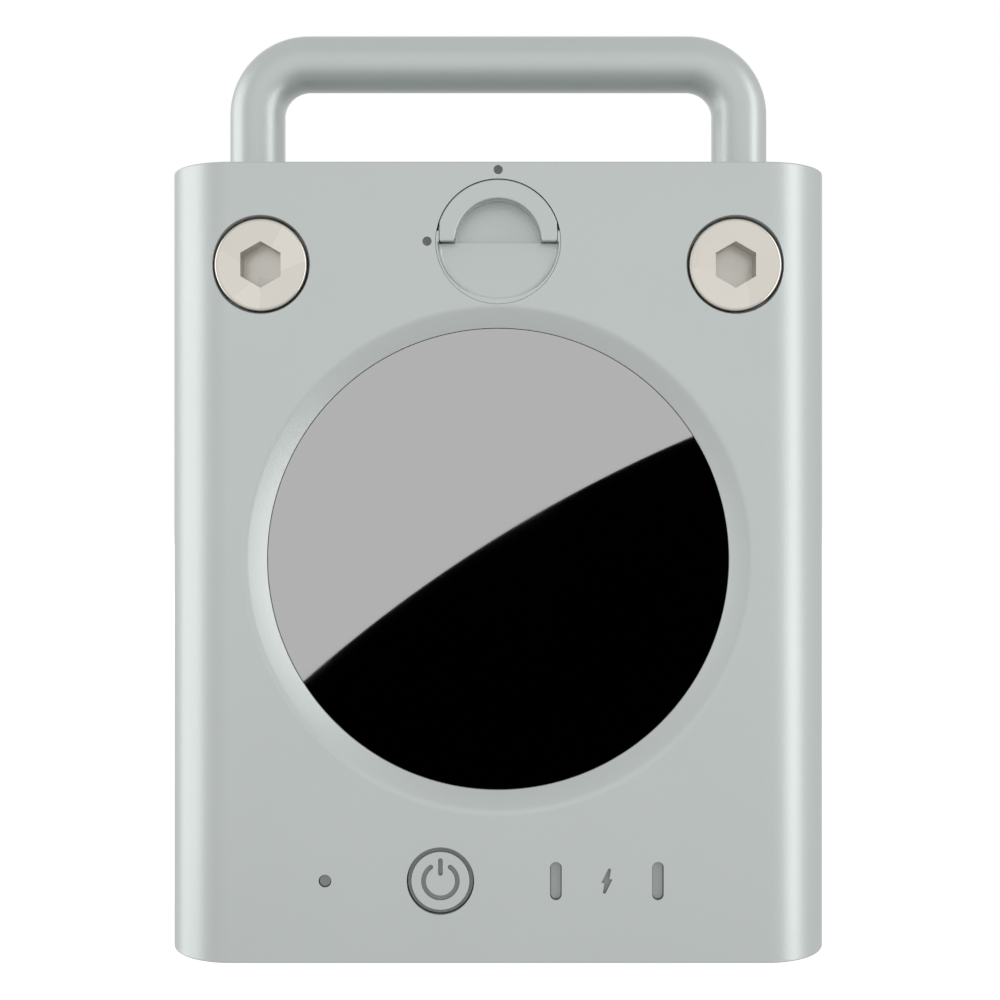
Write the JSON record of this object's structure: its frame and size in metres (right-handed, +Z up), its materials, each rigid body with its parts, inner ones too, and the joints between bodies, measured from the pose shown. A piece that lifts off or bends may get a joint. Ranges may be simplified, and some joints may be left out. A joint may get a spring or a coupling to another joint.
{
  "type": "portable power station",
  "caption": "Compact aluminium power station with a round-bar carry handle, a round wireless charging pad, a fold-up ring lock, a power button and charging ports.",
  "frame": {"origin": "centre of the footprint, on the surface the feet stand on", "axes": "+Z up along the housing, +Y from the front face to the back, +X to the right seen from the front"},
  "size_m": [0.1466, 0.068, 0.2138],
  "materials": {
    "anodised_housing": "bead blasted, silver-grey anodised",
    "nickel_screw": "satin nickel plated",
    "plain_steel": "zinc plated",
    "black_glass": "polished black glass",
    "foot_rubber": "matte black rubber",
    "grey_silicone": "soft grey silicone",
    "light_pipe": "smoked translucent polycarbonate",
    "copper_winding": "enamelled copper wire",
    "ferrite": "sintered ferrite",
    "black_plastic": "moulded glass-filled nylon",
    "circuit_board": "green solder resist",
    "cell_sleeve": "blue heat-shrink sleeve"
  },
  "bodies": {
    "housing": {"base_screw_1": "plain_steel", "base_screw_2": "plain_steel", "base_screw_3": "plain_steel", "base_screw_4": "plain_steel", "battery_cell_1": "cell_sleeve", "battery_cell_2": "cell_sleeve", "battery_cell_3": "cell_sleeve", "battery_cell_4": "cell_sleeve", "battery_cell_5": "cell_sleeve", "battery_cell_6": "cell_sleeve", "battery_cell_7": "cell_sleeve", "battery_cell_8": "cell_sleeve", "bottom_cap": "anodised_housing", "bus_bar_lower": "nickel_screw", "bus_bar_upper": "nickel_screw", "button_switch": "black_plastic", "capacitor_1": "cell_sleeve", "capacitor_2": "cell_sleeve", "carry_handle": "anodised_housing", "cell_holder_lower": "black_plastic", "cell_holder_middle": "black_plastic", "cell_holder_upper": "black_plastic", "charging_coil": "copper_winding", "charging_glass": "black_glass", "coil_carrier": "black_plastic", "control_board": "circuit_board", "core_frame": "anodised_housing", "ferrite_plate": "ferrite", "foot_1": "foot_rubber", "foot_2": "foot_rubber", "foot_3": "foot_rubber", "foot_4": "foot_rubber", "glass_gasket": "foot_rubber", "handle_anchor_left": "black_plastic", "handle_anchor_right": "black_plastic", "handle_screw_left": "nickel_screw", "handle_screw_right": "nickel_screw", "housing_sleeve": "anodised_housing", "latch_bushing": "black_plastic", "latch_keeper": "plain_steel", "led_lens": "light_pipe", "leg_grommet_left": "foot_rubber", "leg_grommet_right": "foot_rubber", "leg_pin_left": "plain_steel", "leg_pin_right": "plain_steel", "magnet_ring": "plain_steel", "main_board": "circuit_board", "power_inductor": "ferrite", "status_led": "light_pipe", "top_cap": "anodised_housing", "usb_receptacle_left": "plain_steel", "usb_receptacle_right": "plain_steel"},
    "latch": {"latch_dial": "anodised_housing", "latch_tongue": "plain_steel", "latch_nut": "plain_steel"},
    "latch_ring": {"latch_bail": "anodised_housing"},
    "button": {"power_button": "anodised_housing"},
    "plug_left": {"port_plug_left": "grey_silicone"},
    "plug_right": {"port_plug_right": "grey_silicone"}
  },
  "joints": [
    {"name": "latch_turn", "type": "hinge", "parent": "housing", "child": "latch", "pos_m": [0, -0.034, 0.1584], "axis": [0, -1, 0], "range_deg": [0, 90]},
    {"name": "latch_ring_fold", "type": "hinge", "parent": "latch", "child": "latch_ring", "pos_m": [0, -0.03275, 0.1597], "axis": [1, 0, 0], "range_deg": [0, 90]},
    {"name": "power_button_press", "type": "slide", "parent": "housing", "child": "button", "axis": [0, 1, 0], "range_m": [0, 0.0008], "stiffness_N_per_m": 1500, "springref_m": -0.0002},
    {"name": "port_plug_left_pull", "type": "slide", "parent": "housing", "child": "plug_left", "axis": [0, -1, 0], "range_m": [0, 0.0065]},
    {"name": "port_plug_right_pull", "type": "slide", "parent": "housing", "child": "plug_right", "axis": [0, -1, 0], "range_m": [0, 0.0065]}
  ]
}
